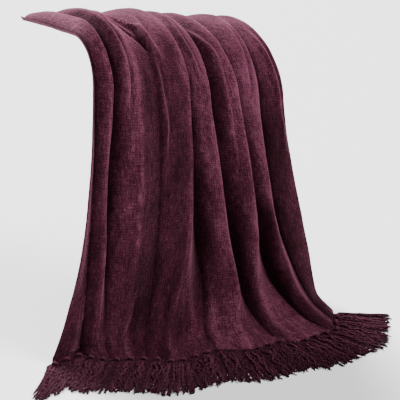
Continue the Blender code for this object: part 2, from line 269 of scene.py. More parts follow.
class Nodes:
    """A small hand for laying out a material's nodes."""

    def __init__(self, material: bpy.types.Material) -> None:
        """Start on a material, keeping its shader and its output.

        Args:
            material: The material whose nodes are laid out.
        """
        material.use_nodes = True
        self.tree = material.node_tree
        self.shader = self.tree.nodes["Principled BSDF"]

    def add(self, kind: str, inputs: dict | None = None, **settings: object) -> bpy.types.Node:
        """Add a node.

        Args:
            kind: The node's type name.
            inputs: Values or sockets for its inputs, by name or number.
            **settings: Values for its properties.

        Returns:
            The new node.
        """
        node = self.tree.nodes.new(kind)
        for key, value in settings.items():
            setattr(node, key, value)
        for key, value in (inputs or {}).items():
            self.feed(node.inputs[key], value)
        return node

    def feed(self, socket: bpy.types.NodeSocket, value: object) -> None:
        """Give an input a value, or a link where the value is a socket.

        Args:
            socket: The input.
            value: A number, a colour, or the socket to link to it.
        """
        if isinstance(value, bpy.types.NodeSocket):
            self.tree.links.new(value, socket)
        else:
            socket.default_value = value

    def maths(self, operation: str, first: object, second: object = 0.0) -> bpy.types.NodeSocket:
        """Combine two numbers or sockets and return the result's socket."""
        node = self.add("ShaderNodeMath", {0: first, 1: second}, operation=operation)
        return node.outputs[0]

    def total(self, parts: list[tuple[bpy.types.NodeSocket, float]]) -> bpy.types.NodeSocket:
        """Add up values, each by its share.

        Args:
            parts: Each value's socket with its share.

        Returns:
            The sum's socket.
        """
        found, *rest = (self.maths("MULTIPLY", value, share) for value, share in parts)
        for part in rest:
            found = self.maths("ADD", found, part)
        return found

    def noise(self, where: bpy.types.NodeSocket, grain: "Grain") -> bpy.types.NodeSocket:
        """Add a grain's noise.

        Args:
            where: The place at which it is read.
            grain: The grain.

        Returns:
            The noise's value, as a socket.
        """
        along = self.add("ShaderNodeMapping", {"Vector": where, "Scale": grain.stretch}).outputs["Vector"]
        made = self.add("ShaderNodeTexNoise", {"Vector": along, "Scale": grain.scale,
                                               "Detail": grain.detail, "Roughness": grain.rough})
        return made.outputs["Fac"]

    def ramp(self, value: bpy.types.NodeSocket,
             stops: tuple[tuple[float, Colour], ...]) -> bpy.types.NodeSocket:
        """Turn a number into a colour.

        Args:
            value: The number's socket.
            stops: Places between 0 and 1, each with its colour, in rising order.

        Returns:
            The colour's socket.
        """
        node = self.add("ShaderNodeValToRGB", {"Fac": value})
        marks = node.color_ramp.elements
        while len(marks) < len(stops):
            marks.new(0.5)
        for mark, (at, colour) in zip(marks, stops):
            mark.position = at
            mark.color = (*colour, 1.0)
        return node.outputs["Color"]


@dataclass(frozen=True)
class Grain:
    """One unevenness of the pile: how coarse it is, which way it runs and how much it shows."""

    scale: float  # how many times it comes to the metre
    stretch: tuple[float, float, float] = (1.0, 1.0, 1.0)  # less than 1 draws it out along that axis
    detail: float = 2.0
    rough: float = 0.6
    shade: float = 0.0  # its share in the nap
    relief: float = 0.0  # its share in the bump


@dataclass(frozen=True)
class Chenille:
    """The crushed pile of chenille: painted shade darkens it in its furrows, and its sheen is silvery where
    its pile turns.
    """

    name: str
    deep: Colour
    body: Colour
    bloom: Colour
    sheen: float = 0.38
    sheen_colour: Colour = (0.97, 0.33, 0.54)
    sheen_roughness: float = 0.36
    roughness: float = 0.92
    specular: float = 0.055
    bump: float = 0.8  # how strongly the relief shows

    def shade(self, nodes: Nodes, nap_and_painted_light: bpy.types.NodeSocket) -> None:
        """Set the shader's colour and gloss.

        Args:
            nodes: The material's nodes.
            nap_and_painted_light: The pile's lie, with painted shade and highlight in it, from 0 in the
                furrows to 1 on the bloom.
        """
        colour = nodes.ramp(nap_and_painted_light, ((0.0, self.deep), (0.5, self.body), (1.0, self.bloom)))
        nodes.feed(nodes.shader.inputs["Base Color"], colour)
        nodes.shader.inputs["Roughness"].default_value = self.roughness
        nodes.shader.inputs["Specular IOR Level"].default_value = self.specular
        nodes.shader.inputs["Sheen Weight"].default_value = self.sheen
        nodes.shader.inputs["Sheen Roughness"].default_value = self.sheen_roughness
        nodes.shader.inputs["Sheen Tint"].default_value = (*self.sheen_colour, 1.0)

    def raise_pile(self, nodes: Nodes, relief: bpy.types.NodeSocket, height: float) -> None:
        """Give the surface its bump.

        Args:
            nodes: The material's nodes.
            relief: The pile's relief.
            height: How high a relief of 1 stands, m.
        """
        bump = nodes.add("ShaderNodeBump", {"Height": relief, "Strength": self.bump, "Distance": height})
        nodes.feed(nodes.shader.inputs["Normal"], bump.outputs["Normal"])


@dataclass(frozen=True)
class ClothFinish(Chenille):
    """Chenille woven into cloth, with ribs of pile across it. Reads the cloth's own map in metres, and the
    painted light that the sheet carries at each vertex.
    """

    rib: float = 0.0078  # from one rib to the next, m
    rib_shade: float = 0.09
    rib_relief: float = 0.15
    warp: float = 0.0072  # from one warp to the next, m
    warp_shade: float = 0.07
    warp_relief: float = 0.12
    painted_light_weight: float = 0.36  # how strongly the sheet's painted highlights and painted shade show in the colour
    stray: Grain = Grain(1.0, (7, 30, 1), rough=0.5)  # how the ribs wander
    strays_by: float = 12.0
    swathe: Grain = Grain(10.0, (1.0, 0.30, 1), rough=0.5, shade=0.9)
    patch: Grain = Grain(26.0, (1.0, 0.35, 1), detail=3.0, shade=0.9)
    crush: Grain = Grain(90.0, (1.0, 0.6, 1), shade=0.6, relief=1.6)
    streak: Grain = Grain(220.0, (1.0, 0.16, 1), shade=0.8, relief=0.7)
    course: Grain = Grain(220.0, (0.18, 1.0, 1), shade=0.6, relief=0.7)
    fleck: Grain = Grain(250.0, rough=0.75, shade=1.5, relief=1.4)
    pile: float = 0.0022  # how high the relief stands, m

    def material(self) -> bpy.types.Material:
        """Make the material.

        Returns:
            The finish as a material.
        """
        made = bpy.data.materials.new(self.name)
        nodes = Nodes(made)
        cloth = nodes.add("ShaderNodeUVMap", uv_map=Throw.MAP).outputs["UV"]
        axes = nodes.add("ShaderNodeSeparateXYZ", {0: cloth})
        wander = nodes.maths("MULTIPLY", nodes.noise(cloth, self.stray), self.strays_by)
        turns = nodes.maths("MULTIPLY", axes.outputs["Y"], math.tau / self.rib)
        rib = nodes.maths("MULTIPLY", nodes.maths("SINE", nodes.maths("ADD", turns, wander)), 0.5)
        ends = nodes.maths("MULTIPLY", axes.outputs["X"], math.tau / self.warp)
        warp = nodes.maths("MULTIPLY", nodes.maths("SINE", ends), 0.5)
        # painted light that the sheet carries at each vertex: highlights on the folds' crowns, shade in their
        # hollows
        painted_light = nodes.add("ShaderNodeAttribute", attribute_name=Throw.PAINTED_LIGHT).outputs["Fac"]
        grains = (self.swathe, self.patch, self.crush, self.streak, self.course, self.fleck)
        noises = [(nodes.noise(cloth, grain), grain) for grain in grains]
        nap_and_painted_light = nodes.total([(rib, self.rib_shade), (painted_light, self.painted_light_weight),
                           *((value, grain.shade) for value, grain in noises), (warp, self.warp_shade)])
        middle = NOISE_MIDDLE * sum(grain.shade for grain in grains) - 0.5
        self.shade(nodes, nodes.maths("SUBTRACT", nap_and_painted_light, middle))
        relief = nodes.total([(rib, self.rib_relief), (warp, self.warp_relief),
                              *((value, grain.relief) for value, grain in noises if grain.relief)])
        self.raise_pile(nodes, relief, self.pile)
        return made


@dataclass(frozen=True)
class YarnFinish(Chenille):
    """Loose chenille yarn, furry and mottled, with painted shade that darkens it the deeper it lies in the
    fringe.
    """

    bed: float = -1.03  # the floor's Z, m
    thick: float = 0.014  # how high over the floor the fringe's topmost yarns lie, m
    depth_shade: float = 1.1  # painted shade: how much lighter the topmost yarns are painted than the bed
    bed_shade: float = 0.95  # taken off the whole, which leaves the bed, in painted shade, darker than its own grain
    fur: Grain = Grain(700.0, rough=0.7, shade=0.8)
    mottle: Grain = Grain(130.0, shade=0.9)
    pile: float = 0.0012  # how high the fur stands, m

    def material(self) -> bpy.types.Material:
        """Make the material.

        Returns:
            The finish as a material.
        """
        made = bpy.data.materials.new(self.name)
        nodes = Nodes(made)
        place = nodes.add("ShaderNodeTexCoord").outputs["Object"]
        fur, mottle = nodes.noise(place, self.fur), nodes.noise(place, self.mottle)
        height = nodes.add("ShaderNodeSeparateXYZ", {0: place}).outputs["Z"]
        # painted shade: the lower a yarn lies in the fringe, the darker it is painted
        share = nodes.maths("DIVIDE", nodes.maths("SUBTRACT", height, self.bed), self.thick)
        high = nodes.add("ShaderNodeClamp", {"Value": share}).outputs[0]
        nap_and_painted_light = nodes.total([(fur, self.fur.shade), (mottle, self.mottle.shade), (high, self.depth_shade)])
        self.shade(nodes, nodes.maths("SUBTRACT", nap_and_painted_light, self.bed_shade))
        self.raise_pile(nodes, fur, self.pile)
        return made


CLOTH_FINISH = ClothFinish(
    name="plum_cloth",
    deep=(0.010, 0.0017, 0.0034),
    body=(0.046, 0.0092, 0.0186),
    bloom=(0.140, 0.040, 0.071),
)
YARN_FINISH = YarnFinish(
    name="plum_yarn",
    deep=(0.006, 0.0014, 0.0026),
    body=(0.030, 0.0066, 0.0125),
    bloom=(0.080, 0.021, 0.038),
    sheen=0.25,
)


@dataclass(frozen=True)
class Swell:
    """An unevenness of the cloth's surface: how high it stands, and how often it comes along each axis."""

    height: float  # mm
    often: tuple[float, float, float]  # times to the metre, along X, Y and Z


@dataclass
class Throw:
    """The woven cloth: one thin sheet that comes over an edge, falls and spreads on the floor."""

    MAP: ClassVar[str] = "weave"  # the cloth's own map, in metres
    PAINTED_LIGHT: ClassVar[str] = "painted_light"  # painted light at each vertex: highlights on ridges, creases and over the edge, shade in hollows, gaps and towards the foot

    floor: float
    thickness: float = 0.003
    arch_reach: float = 0.30  # from the crest forwards to the hanging face
    levels: tuple[float, ...] = (0.0, 0.40, 0.66, 0.91, 1.09, 1.23)  # along the cloth from the crest
    touch: float = 1.205  # where the cloth meets the floor
    far_hem: float = -0.22
    even_flare: float = 0.30  # share of the reach to the floor that grows evenly down the face
    flare_height: float = 0.42  # the rest curls out below this height
    touch_lift: float = 0.020  # how far the cloth stands over the floor where it meets it
    hem_lift: float = 0.004
    lift_level: int = 4  # the level from which it is lifted
    ridge_round: float = 0.22  # how far a steep side runs level at its ridge, as a share of its width
    hollow_round: float = 0.30
    panel_hollow_round: float = 0.12  # the same for a panel, at the hollow where it starts
    panel_ridge_round: float = 0.30
    panel_dip: float = 0.25  # how much of a hollow's depth its panel keeps on its way out
    tuck_place: float = 1.25  # where the cloth tucks in beside a crease, in widths of the crease
    tuck_width: float = 0.6
    slope_step: float = 0.012  # half the length of cloth over which its slope is taken
    steepness: float = 2.0  # how steeply a crease falls away from its middle
    fades_over: float = 0.25  # share of a crease's length over which it rises, and goes again
    hem_fades_over: float = 0.5  # the same for a crease that runs out at the hem
    ridge_highlight: float = 0.65  # painted highlight on a ridge
    ridge_highlight_width: float = 0.013
    edge_highlight: float = 0.38  # how much painted highlight there is over the edge
    past_edge_from: float = 0.18  # where, past the crest, the painted highlight over the edge starts to fade, the painted shade in the gaps eases and the panels' painted light sets in
    past_edge_run: float = 0.24
    foot_shade: float = -0.14  # painted shade added towards the foot
    foot_levels: tuple[int, int] = (2, 4)  # the levels between which that sets in
    crease_highlight: float = 0.8  # painted highlight on a crease, against the painted shade in a hollow as deep
    full_shade_depth: float = 0.050  # how deep a hollow is where its painted shade is full
    gap_shade: float = 1.0  # painted shade along the gaps between the folds, over the edge
    gap_shade_fades: float = 0.6  # share of that which is lost below the edge
    gap_shade_width: float = 0.007
    highlight_dims_from: float = 0.74  # where a ridge's painted highlight starts to fade low down
    highlight_dim_run: float = 0.14
    pile_border: float = 0.016  # over which the painted light turns from one panel's to the next
    panel_holds: int = 6  # how far across a panel its own painted light lasts, as a power
    swells: tuple[Swell, ...] = (Swell(1.6, (22, 9, 9)), Swell(0.7, (60, 26, 26)))
    flank_steps: int = 16
    panel_steps: int = 28
    tuck_steps: int = 8
    rows: tuple[int, int, int, int] = (10, 42, 80, 14)  # over the top, arch, face and floor
    curve_steps: tuple[int, int, int] = (12, 60, 90)  # along the course, over the top, arch and face
    flat: tuple[float, float] = (1.27, 1.52)
    finish: ClothFinish = CLOTH_FINISH

    @property
    def hem(self) -> float:
        """The distance from the crest to the near hem, along the cloth."""
        return self.levels[-1]

    @property
    def last_fold(self) -> int:
        """The number of the last fold, which is tucked back to the line that follows it."""
        return len(FOLDS) - 2

    def column_list(self, flank_steps: int, panel_steps: int, tuck_steps: int) -> list[Column]:
        """List the sheet's columns from left to right.

        Args:
            flank_steps: Steps across a fold's steep side.
            panel_steps: Steps across a panel.
            tuck_steps: Steps across each half of the last, tucked fold.

        Returns:
            The columns.
        """
        found: list[Column] = []
        for i in range(self.last_fold + 1):
            for part, steps in ((Part.FLANK, flank_steps), (Part.PANEL, panel_steps)):
                count = tuck_steps if i == self.last_fold else steps
                found += [(i, part, k / count) for k in range(count)]
        return found + [(self.last_fold, Part.PANEL, 1.0)]

    def row_list(self) -> np.ndarray:
        """List the sheet's rows.

        Returns:
            Their distances along the cloth, from the far hem to the near one.
        """
        marks = (self.far_hem, 0.0, self.levels[1], self.touch, self.hem)
        runs = [np.linspace(a, b, count, endpoint=False) for a, b, count in zip(marks, marks[1:], self.rows)]
        return np.concatenate((*runs, [self.hem]))

    def by_level(self, values: tuple[float, ...], course: np.ndarray) -> np.ndarray:
        """Return a row's smooth value, from its one value a level, at distances along the cloth."""
        return smooth(self.levels, values, course)

    def across(self, column: Column, course: np.ndarray) -> tuple[np.ndarray, np.ndarray]:
        """Find where a column runs.

        Args:
            column: The column.
            course: Distances along the cloth.

        Returns:
            X, and the distance behind the ridges, at each distance.
        """
        i, part, t = column
        fold, after = FOLDS[i], FOLDS[i + 1]
        held = np.maximum(course, 0.0)
        ridge = self.by_level(fold.across, held) * MM
        end = self.by_level(after.across, held) * MM
        hollow = ridge + self.by_level(fold.flank, held) * PER_CENT * (end - ridge)
        depth = self.by_level(fold.hollow, held) * MM
        level = np.zeros_like(course)
        if part is Part.FLANK:
            width = hollow - ridge
            return (bezier(ridge, ridge + self.ridge_round * width,
                           hollow - self.hollow_round * width, hollow, t),
                    bezier(level, level, depth, depth, t))
        width = end - hollow
        tucked = i == self.last_fold
        behind = self.by_level(after.hollow, held) * MM if tucked else level
        dip = depth if tucked else depth * self.panel_dip
        return (bezier(hollow, hollow + self.panel_hollow_round * width,
                       end - self.panel_ridge_round * width, end, t),
                bezier(depth, dip, behind, behind, t))

    def creased(self, x: np.ndarray, course: np.ndarray) -> np.ndarray:
        """Work out how far the creases lift the cloth.

        Args:
            x: Where the cloth is across, at each distance.
            course: Distances along the cloth.

        Returns:
            The lift at each distance.
        """
        lift = np.zeros_like(course)
        for crease in CREASES:
            middle = smooth(crease.course, crease.across, course) * MM
            t = (course - crease.course[0]) / (crease.course[-1] - crease.course[0])
            fade = smoothstep(t / self.fades_over) * smoothstep((1 - t) / self.fades_over)
            if crease.course[-1] >= self.hem:
                fade = smoothstep(t / self.hem_fades_over)
            away = (x - middle) / (crease.width * MM)
            lift += crease.height * MM * fade * np.exp(-self.steepness * away**2)
            if crease.tuck:
                inside = (away - math.copysign(self.tuck_place, crease.tuck)) / self.tuck_width
                lift -= abs(crease.tuck) * MM * fade * np.exp(-self.steepness * inside**2)
        return lift

    def course_curve(self, x: float) -> np.ndarray:
        """Work out the outer course over the edge and down to the hem.

        Args:
            x: Where the cloth crosses the crest.

        Returns:
            Rows of distance along the cloth, Y and Z.
        """
        at = [s.at * MM for s in SECTIONS]
        crest, far_reach, far_drop, reach, drop, out, toe = (
            float(smooth(at, [getattr(s, key) * MM for s in SECTIONS], x))
            for key in ("crest", "far_reach", "far_drop", "reach", "drop", "out", "toe"))
        over_top, over_arch, down_face = self.curve_steps
        top = self.floor + crest
        rows = [(self.far_hem * b, far_reach * b, top - far_drop * b**2)
                for b in np.linspace(1, 0, over_top)[:-1]]
        level = self.arch_reach - reach
        quarter = np.linspace(0, math.pi / 2, over_arch)
        arch = [(-level - reach * math.sin(a), top - drop + drop * math.cos(a)) for a in quarter]
        run = np.concatenate(([0], np.cumsum([math.dist(p, q) for p, q in zip(arch, arch[1:])])))
        if level > MM:
            rows.append((0.0, 0.0, top))
        rows += [(self.levels[1] * (level + r) / (level + run[-1]), *p) for r, p in zip(run, arch)]
        height = crest - drop
        for fall in np.linspace(0, 1, down_face)[1:]:
            h = height * (1 - fall)
            curl = 1 - math.sqrt(1 - max(0.0, 1 - h / self.flare_height) ** 2)
            away = out * (self.even_flare * fall + (1 - self.even_flare) * curl)
            rows.append((self.levels[1] + fall * (self.touch - self.levels[1]), -self.arch_reach - away,
                         self.floor + h))
        rows.append((self.hem, -self.arch_reach - out - toe, self.floor))
        return np.array(rows).T

    def grid(self, columns: list[Column], course: np.ndarray) -> np.ndarray:
        """Work out the sheet's middle surface.

        Args:
            columns: The columns, from left to right.
            course: The rows' distances along the cloth.

        Returns:
            Points, by row and column.
        """
        points = np.empty((len(course), len(columns), 3))
        lifts = (self.levels[self.lift_level], self.touch, self.hem)
        lift = np.interp(course, lifts, (0, self.touch_lift, self.hem_lift))
        start = np.zeros(1)
        for c, column in enumerate(columns):
            along, ys, zs = self.course_curve(float(self.across(column, start)[0][0]))
            x, behind = self.across(column, course)
            behind = behind - self.creased(x, course)
            before, after = course - self.slope_step, course + self.slope_step
            ty = np.interp(after, along, ys) - np.interp(before, along, ys)
            tz = np.interp(after, along, zs) - np.interp(before, along, zs)
            size = np.hypot(ty, tz)
            points[:, c, 0] = x
            points[:, c, 1] = np.interp(course, along, ys) - behind * tz / size
            points[:, c, 2] = np.interp(course, along, zs) + behind * ty / size + lift
        points[..., 2] = np.maximum(points[..., 2], self.floor + self.thickness / 2)
        points[-1, :, 2] = self.floor + self.thickness / 2
        return points

    def painted_light_map(self, columns: list[Column], course: np.ndarray) -> np.ndarray:
        """Work out the painted light: highlights on the crowns of the folds, on the creases and over the
        edge, each panel's own painted light, lighter or darker, and painted shade in the hollows, along the
        gaps and towards the foot.

        Args:
            columns: The columns, from left to right.
            course: The rows' distances along the cloth.

        Returns:
            A number from about -1, deep in a fold, to 1, by row and column.
        """
        held = np.maximum(course, 0.0)
        past_edge = smoothstep((course - self.past_edge_from) / self.past_edge_run)
        over_edge = self.edge_highlight * (1 - past_edge)
        knee, foot = (self.levels[k] for k in self.foot_levels)
        low = self.foot_shade * smoothstep((course - knee) / (foot - knee))
        gap_shade_here = self.gap_shade * (1 - self.gap_shade_fades * past_edge)
        dulled = smoothstep((course - self.highlight_dims_from) / self.highlight_dim_run)
        lines = np.stack([(self.by_level(fold.across, held) + fold.late) * MM for fold in FOLDS], axis=1)
        shine = np.stack([1 - (1 - fold.shine) * dulled for fold in FOLDS], axis=1)
        gaps = np.stack([self.across((k, Part.PANEL, 0.0), course)[0]
                         for k in range(self.last_fold + 1)], axis=1)
        inner = slice(1, -2)  # the ridges between the throw's two edges
        found = np.empty((len(course), len(columns)))
        for c, (i, part, t) in enumerate(columns):
            x, behind = self.across((i, part, t), course)
            lift = self.creased(x, course)
            # painted highlight along the nearest ridge
            near = np.exp(-(((lines[:, inner] - x[:, None]) / self.ridge_highlight_width) ** 2))
            nearest = near.argmax(axis=1)[:, None]
            ridge = np.take_along_axis(near * shine[:, inner], nearest, 1)[:, 0]
            before, after = FOLDS[max(i - 1, 0)].pile, FOLDS[i].pile
            if part is Part.PANEL:
                pile = after * (1 - t**self.panel_holds) * shine[:, i + 1]
            elif FOLDS[i].late:
                pile = before + (after - before) * smoothstep((x - lines[:, i]) / self.pile_border + 0.5)
            else:
                pile = before + (after - before) * t
            # painted shade along the gaps between the folds
            near_gap = np.abs(gaps - x[:, None]).min(axis=1)
            gap = gap_shade_here * np.exp(-((near_gap / self.gap_shade_width) ** 2))
            # painted shade in the hollows
            hollow_shade = smoothstep((behind - lift) / self.full_shade_depth)
            # painted highlights on ridges, creases and over the edge, each panel's painted light, and painted
            # shade towards the foot, in the hollows and along the gaps
            found[:, c] = (self.ridge_highlight * (1 + low) * ridge + pile * past_edge + over_edge + low
                           + lift / self.full_shade_depth * self.crease_highlight - hollow_shade - gap)
        return found

    def roughened(self, points: np.ndarray) -> np.ndarray:
        """Move the sheet's points a little along its normals, as soft cloth is never smooth.

        Args:
            points: The points, by row and column.

        Returns:
            The moved points. The hem's stay where they are.
        """
        down = np.gradient(points, axis=0)
        right = np.gradient(points, axis=1)
        normal = np.cross(down, right)
        normal /= np.linalg.norm(normal, axis=2, keepdims=True)
        height = np.array([[sum(swell.height * MM * noise.noise(Vector(p * swell.often))
                                for swell in self.swells) for p in row] for row in points])
        moved = points + normal * height[..., None]
        moved[..., 2] = np.maximum(moved[..., 2], self.floor + self.thickness / 2)
        moved[-1] = points[-1]
        return moved

    def build(self) -> bpy.types.Object:
        """Build the cloth.

        Returns:
            The sheet, as a closed body of even thickness with its map in metres, in its finish.
        """
        columns = self.column_list(self.flank_steps, self.panel_steps, self.tuck_steps)
        points = self.roughened(self.grid(columns, self.row_list()))
        painted_light_map = self.painted_light_map(columns, self.row_list())
        rows, count = points.shape[:2]
        bm = bmesh.new()
        uv_layer = bm.loops.layers.uv.new(self.MAP)
        painted_light_layer = bm.verts.layers.float.new(self.PAINTED_LIGHT)
        bmesh.ops.create_grid(bm, x_segments=count - 1, y_segments=rows - 1, size=0.5)
        across = np.cumsum(np.linalg.norm(np.diff(points, axis=1), axis=2), axis=1).mean(axis=0)
        along = np.cumsum(np.linalg.norm(np.diff(points, axis=0), axis=2), axis=0).mean(axis=1)
        across, along = np.concatenate(([0], across)), np.concatenate(([0], along))
        place = {}
        for vert in bm.verts:
            c = round((vert.co.x + 0.5) * (count - 1))
            r = round((0.5 - vert.co.y) * (rows - 1))
            place[vert.index] = (c, r)
            vert.co = points[r, c]
            # the painted light, kept on each vertex for the finish to read
            vert[painted_light_layer] = painted_light_map[r, c]
        bm.verts.index_update()
        for face in bm.faces:
            for loop in face.loops:
                c, r = place[loop.vert.index]
                loop[uv_layer].uv = (across[c], along[r])
        mesh = bpy.data.meshes.new(SHEET_NODE)
        bm.to_mesh(mesh)
        bm.free()
        raw = link(bpy.data.objects.new("sheet", mesh))
        thick = raw.modifiers.new("thickness", "SOLIDIFY")
        thick.thickness = self.thickness
        thick.offset = 0.0
        sheet = settled(raw, SHEET_PIECE)
        sheet.data.shade_smooth()
        for vert in sheet.data.vertices:
            vert.co.z = max(vert.co.z, self.floor)
        self.dress(sheet)
        return sheet

    def dress(self, sheet: bpy.types.Object) -> None:
        """Put the sheet in its finish."""
        sheet.data.materials.append(self.finish.material())


@dataclass(frozen=True)
class Lock:
    """What the few yarns of one lock share."""

    stray: float  # how far it wanders to each side, m
    bend: float  # the length of its wanderings, m
    turn: float  # where its wanderings and its crimps start, radians
    pitch: float  # from one crimp to the next, m
    drift: float  # how far its tip lies to one side, m
    rest: float  # how high it lies past the knot, m
    quick: float  # share of its length over which it leaves the knot's line
    long: float  # how long it is, from -1 to 1


@dataclass(frozen=True)
class LockRange:
    """How far the locks of a tassel differ."""

    stray: float = 0.007
    bend: tuple[float, float] = (0.05, 0.10)
    pitch: tuple[float, float] = (0.015, 0.023)
    drift: float = 0.009
    rise: float = 0.0115  # how much higher than the lowest lock the topmost one lies
    low_lying: float = 1.3  # how many of them lie low, as a power
    quick: tuple[float, float] = (0.008, 0.09)

    def draw(self, lowest: float, rng: random.Random) -> Lock:
        """Draw one lock.

        Args:
            lowest: How high a lock lies at least.
            rng: The source of its unevenness.

        Returns:
            The lock.
        """
        return Lock(
            stray=rng.uniform(-1, 1) * self.stray,
            bend=rng.uniform(*self.bend),
            turn=rng.uniform(0, math.tau),
            pitch=rng.uniform(*self.pitch),
            drift=rng.uniform(-1, 1) * self.drift,
            rest=lowest + rng.random() ** self.low_lying * self.rise,
            quick=rng.uniform(*self.quick),
            long=rng.uniform(-1, 1),
        )


@dataclass(frozen=True)
class Yarn:
    """How one crimped yarn runs from the hem, through the knot or beside it, to its tip."""

    radius: float = 0.0019
    at_root: float = 0.75  # how thick it is up to the knot, against its radius
    at_tip: float = 0.55
    lowest: float = 1.05  # how high its middle lies at least, in radii
    uneven: tuple[float, float] = (0.7, 0.5)  # its lock's share and its own in how long it is
    shorter_outside: float = 0.25  # how much shorter the fan is towards its sides
    crimp: tuple[float, float] = (0.0018, 0.0036)
    out_of_step: float = 2.4  # how far its crimps are out of step with its lock's, radians
    own_rise: float = 0.0018  # how much higher or lower than its lock it lies
    loosens: float = 6.0  # how soon past the knot its crimps are full
    upwards: tuple[float, float, float] = (0.7, 1.7, 0.9)  # the upward crimps' size, start and rate
    wander_start: float = 2.3
    opens: tuple[float, float] = (0.72, 0.28)  # shares of the fan's width near the knot and on the way
    settles: float = 0.6  # share of its height that it loses on its way to the tip
    knot_exit: float = 0.005  # how high it leaves the knot
    drops_over: float = 0.22  # share of its length over which it comes to its own height
    root_width: float = 0.034  # of the hem that is gathered into one knot
    gathers: float = 1.3  # how soon it is drawn into the knot, as a power
    root_height: tuple[float, float] = (0.0022, 0.004)  # at the hem, and how much it climbs to the knot
    start: float = 0.001  # how far inside the hem it starts
    beside: tuple[float, float] = (0.009, 0.027)  # how far from the knot's middle a yarn beside it starts
    beside_swing: float = 0.5
    beside_rise: float = 0.6


@dataclass(frozen=True)
class Bed:
    """The flat yarns that lie under the others, from the hem outwards."""

    yarns: int = 17
    length: tuple[float, float] = (0.80, 0.94)  # as shares of the fringe's
    wave: float = 0.002
    pitch: float = 0.04
    height: float = 1.1  # of its middle, in radii
    thick: float = 1.65  # against a yarn's radius
    tip: float = 0.8
    tapers_at: float = 0.85  # share of the length


@dataclass(frozen=True)
class Knot:
    """The knot: a fat ring of yarn wound aslant round the bundle."""

    out: float = 0.011  # from the hem to its middle
    width: float = 0.0225
    height: float = 0.0190
    ring: float = 0.26  # the ring's radius, as a share of the width
    coil: float = 0.24  # the same for what is wound into it
    sides: int = 8
    steps: int = 14
    strands: int = 5  # how many turns of yarn bulge in it
    bulge: float = 0.07
    rough: float = 0.05
    slant: float = 14.0  # degrees

    def build(self, place: Matrix, rng: random.Random) -> bmesh.types.BMesh:
        """Make the knot.

        Args:
            place: Where it goes, with its axis along Z before it is slanted.
            rng: The source of its unevenness.

        Returns:
            The knot as a bmesh, in place.
        """
        bm = bmesh.new()
        across = Matrix.Translation((self.ring, 0, 0)) @ Matrix.Rotation(math.pi / 2, 4, "X")
        circle = bmesh.ops.create_circle(bm, segments=self.sides, radius=self.coil, matrix=across)
        bmesh.ops.spin(bm, geom=circle["verts"] + list(bm.edges), cent=(0, 0, 0), axis=(0, 0, 1),
                       dvec=(0, 0, 0), angle=math.tau, steps=self.steps, use_merge=True)
        bmesh.ops.remove_doubles(bm, verts=bm.verts, dist=WELD)
        bmesh.ops.recalc_face_normals(bm, faces=bm.faces)
        twist = rng.uniform(0, math.tau)
        for vert in bm.verts:
            turn = math.atan2(vert.co.y, vert.co.x)
            vert.co *= (1 + self.bulge * math.sin(self.strands * turn + twist)
                        + self.rough * rng.uniform(-1, 1))
        slant = Matrix.Rotation(math.radians(90 + rng.uniform(-self.slant, self.slant)), 4, "X")
        size = Matrix.Diagonal((self.width, self.height, self.height, 1))
        bmesh.ops.transform(bm, matrix=place @ size @ slant, verts=bm.verts)
        return bm


